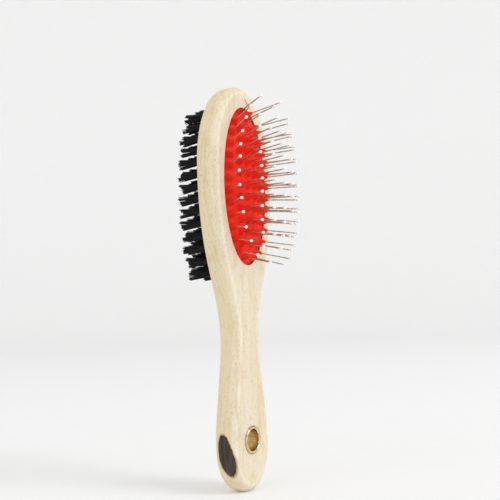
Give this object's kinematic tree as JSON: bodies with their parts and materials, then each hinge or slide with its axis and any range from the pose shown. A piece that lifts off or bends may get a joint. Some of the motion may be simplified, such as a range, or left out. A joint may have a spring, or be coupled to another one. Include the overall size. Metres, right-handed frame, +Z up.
{
  "type": "double-sided pet grooming brush",
  "caption": "Wooden paddle brush with ball-tipped pins in an air cushion on the front, nylon tufts on the back and a brass-lined hanging hole.",
  "frame": {"origin": "centre of the hanging hole, at the middle of the wood's thickness", "axes": "+Z runs up the handle to the head, -Y is the pin side, +Y is the bristle side, X is across"},
  "size_m": [0.0608, 0.057, 0.22],
  "materials": {
    "pale_wood": "sanded, unvarnished",
    "red_rubber": "satin moulded",
    "steel_wire": "drawn wire",
    "white_bead": "gloss",
    "black_nylon": "satin filament",
    "anchor_wire": "flat wire",
    "brass": "polished, slightly worn"
  },
  "bodies": {
    "brush": {"wood_body": "pale_wood", "air_cushion": "red_rubber", "eyelet_front": "brass", "eyelet_back": "brass", "tufts_row_01": "black_nylon", "tufts_row_02": "black_nylon", "tufts_row_03": "black_nylon", "tufts_row_04": "black_nylon", "tufts_row_05": "black_nylon", "tufts_row_06": "black_nylon", "tufts_row_07": "black_nylon", "tufts_row_08": "black_nylon", "tufts_row_09": "black_nylon", "tufts_row_10": "black_nylon", "tufts_row_11": "black_nylon", "tufts_row_12": "black_nylon", "tufts_row_13": "black_nylon", "tufts_row_14": "black_nylon", "tuft_anchors_row_01": "anchor_wire", "tuft_anchors_row_02": "anchor_wire", "tuft_anchors_row_03": "anchor_wire", "tuft_anchors_row_04": "anchor_wire", "tuft_anchors_row_05": "anchor_wire", "tuft_anchors_row_06": "anchor_wire", "tuft_anchors_row_07": "anchor_wire", "tuft_anchors_row_08": "anchor_wire", "tuft_anchors_row_09": "anchor_wire", "tuft_anchors_row_10": "anchor_wire", "tuft_anchors_row_11": "anchor_wire", "tuft_anchors_row_12": "anchor_wire", "tuft_anchors_row_13": "anchor_wire", "tuft_anchors_row_14": "anchor_wire"},
    "pin_ring_1": {"pins_ring_1": "steel_wire", "pin_tips_ring_1": "white_bead"},
    "pin_ring_2": {"pins_ring_2": "steel_wire", "pin_tips_ring_2": "white_bead"},
    "pin_ring_3": {"pins_ring_3": "steel_wire", "pin_tips_ring_3": "white_bead"},
    "pin_ring_4": {"pins_ring_4": "steel_wire", "pin_tips_ring_4": "white_bead"},
    "pin_ring_5": {"pins_ring_5": "steel_wire", "pin_tips_ring_5": "white_bead"},
    "pin_ring_6": {"pins_ring_6": "steel_wire", "pin_tips_ring_6": "white_bead"},
    "pin_ring_7": {"pins_ring_7": "steel_wire", "pin_tips_ring_7": "white_bead"}
  },
  "joints": [
    {"name": "cushion_press", "type": "slide", "parent": "brush", "child": "pin_ring_1", "axis": [0, 1, 0], "range_m": [0, 0.00277], "stiffness_N_per_m": 2500, "deforming": ["air_cushion"]},
    {"name": "cushion_press_ring_2", "type": "slide", "parent": "brush", "child": "pin_ring_2", "axis": [0, 1, 0], "range_m": [0, 0.00237]},
    {"name": "cushion_press_ring_3", "type": "slide", "parent": "brush", "child": "pin_ring_3", "axis": [0, 1, 0], "range_m": [0, 0.00194]},
    {"name": "cushion_press_ring_4", "type": "slide", "parent": "brush", "child": "pin_ring_4", "axis": [0, 1, 0], "range_m": [0, 0.00143]},
    {"name": "cushion_press_ring_5", "type": "slide", "parent": "brush", "child": "pin_ring_5", "axis": [0, 1, 0], "range_m": [0, 0.00091]},
    {"name": "cushion_press_ring_6", "type": "slide", "parent": "brush", "child": "pin_ring_6", "axis": [0, 1, 0], "range_m": [0, 0.000567]},
    {"name": "cushion_press_ring_7", "type": "slide", "parent": "brush", "child": "pin_ring_7", "axis": [0, 1, 0], "range_m": [0, 0.000133]}
  ],
  "couplings": [
    {"joint": "cushion_press_ring_2", "follows": "cushion_press", "ratio": 0.8568},
    {"joint": "cushion_press_ring_3", "follows": "cushion_press", "ratio": 0.6983},
    {"joint": "cushion_press_ring_4", "follows": "cushion_press", "ratio": 0.5175},
    {"joint": "cushion_press_ring_5", "follows": "cushion_press", "ratio": 0.3285},
    {"joint": "cushion_press_ring_6", "follows": "cushion_press", "ratio": 0.2047},
    {"joint": "cushion_press_ring_7", "follows": "cushion_press", "ratio": 0.0478}
  ]
}
